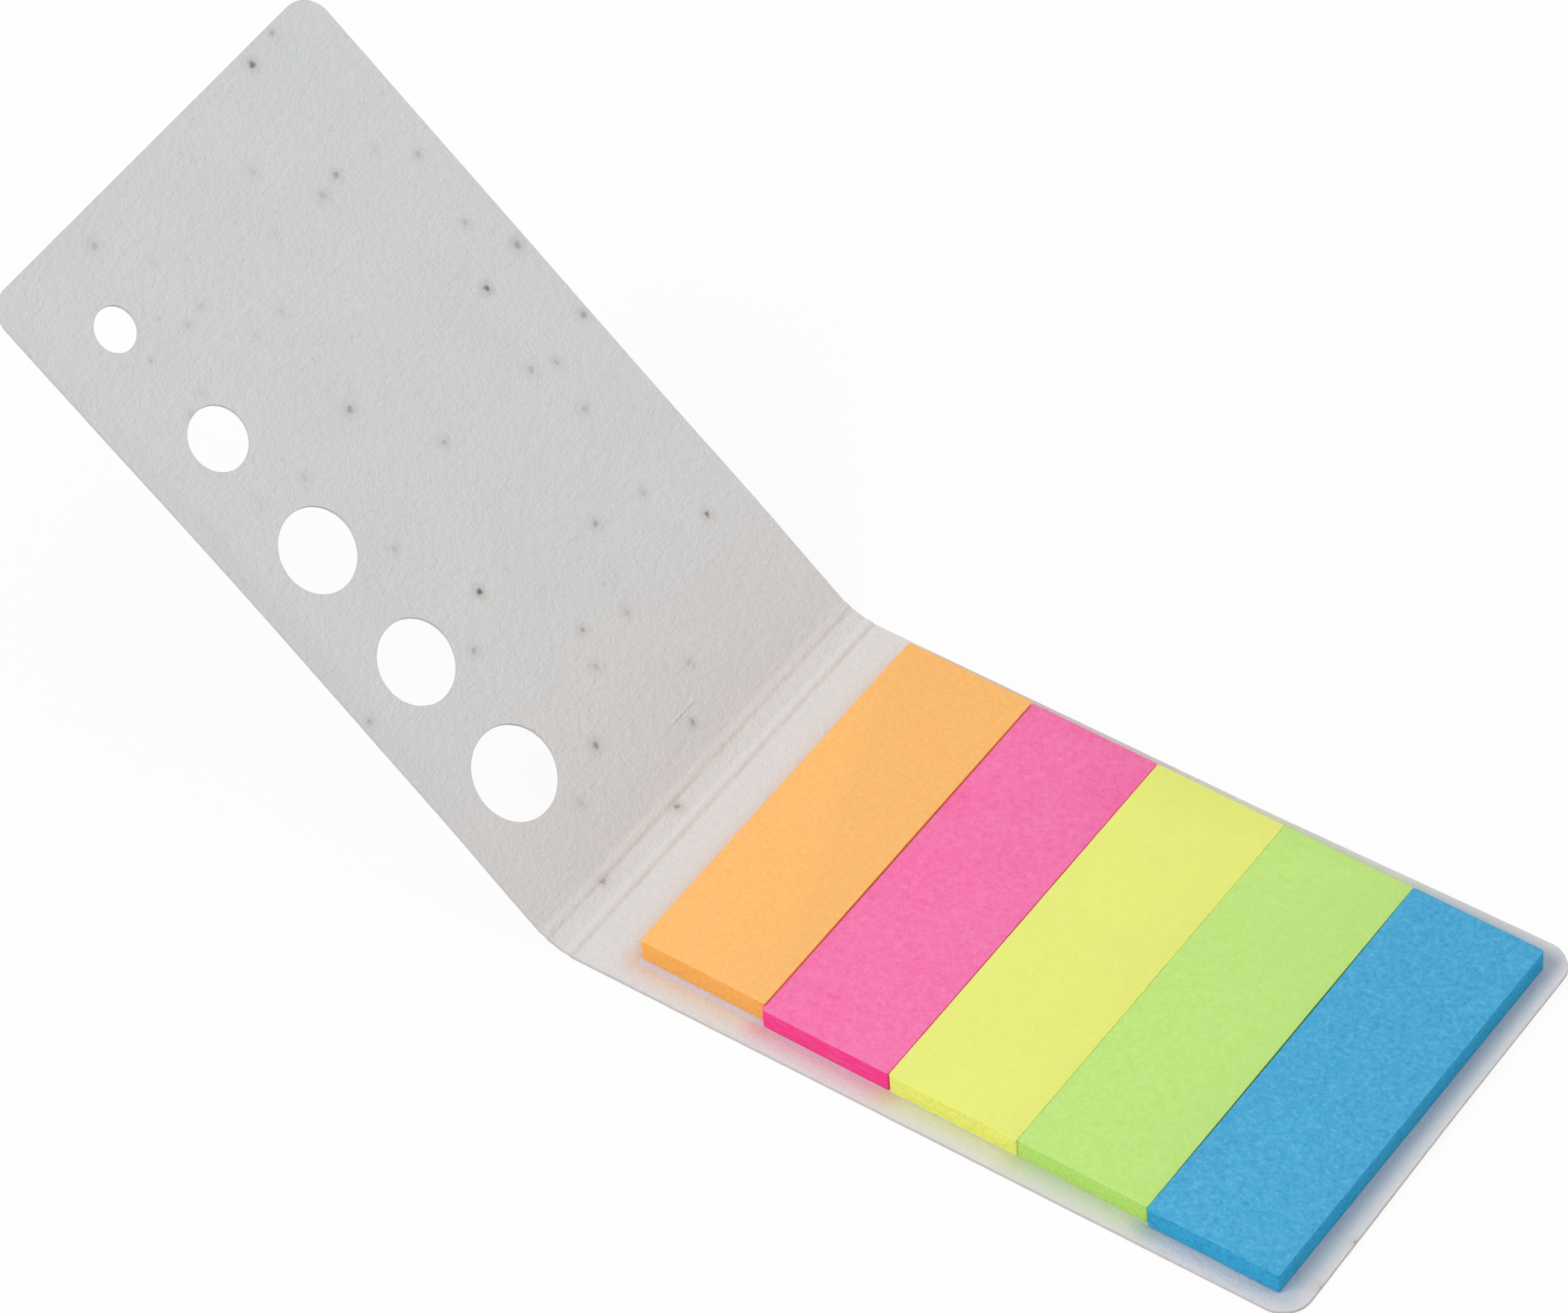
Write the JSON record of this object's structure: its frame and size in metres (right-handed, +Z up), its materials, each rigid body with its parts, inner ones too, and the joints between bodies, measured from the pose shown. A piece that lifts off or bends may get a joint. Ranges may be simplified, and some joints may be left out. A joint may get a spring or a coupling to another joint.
{
  "type": "seed paper sticky notes",
  "caption": "Fold-over seed paper cover with a graded row of round windows, opened on a row of narrow coloured sticky note pads.",
  "frame": {"origin": "centre of the back cover's outer face, which lies on the table", "axes": "+X from the spine to the free end of the back cover, +Y from the near edge to the far edge along the creases, +Z up from the table"},
  "size_m": [0.1423, 0.0496, 0.0534],
  "materials": {
    "seed_paper": "matt, fibrous handmade paper with pressed-in seeds",
    "liner_paper": "matt",
    "orange_paper": "matt",
    "pink_paper": "matt",
    "yellow_paper": "matt",
    "green_paper": "matt",
    "blue_paper": "matt"
  },
  "bodies": {
    "back": {"back_cover": "seed_paper", "pad_liner": "liner_paper", "orange_pad": "orange_paper", "pink_pad": "pink_paper", "yellow_pad": "yellow_paper", "green_pad": "green_paper", "blue_pad": "blue_paper"},
    "spine": {"spine": "seed_paper"},
    "front": {"front_cover": "seed_paper"}
  },
  "joints": [
    {"name": "crease_back", "type": "hinge", "parent": "back", "child": "spine", "pos_m": [-0.04, 0, 0.0004], "axis": [0, 1, 0], "range_deg": [-20.6, 69.4]},
    {"name": "crease_front", "type": "hinge", "parent": "spine", "child": "front", "pos_m": [-0.04262, 0, 0.00138], "axis": [0, 1, 0], "range_deg": [-20.6, 69.4]}
  ]
}
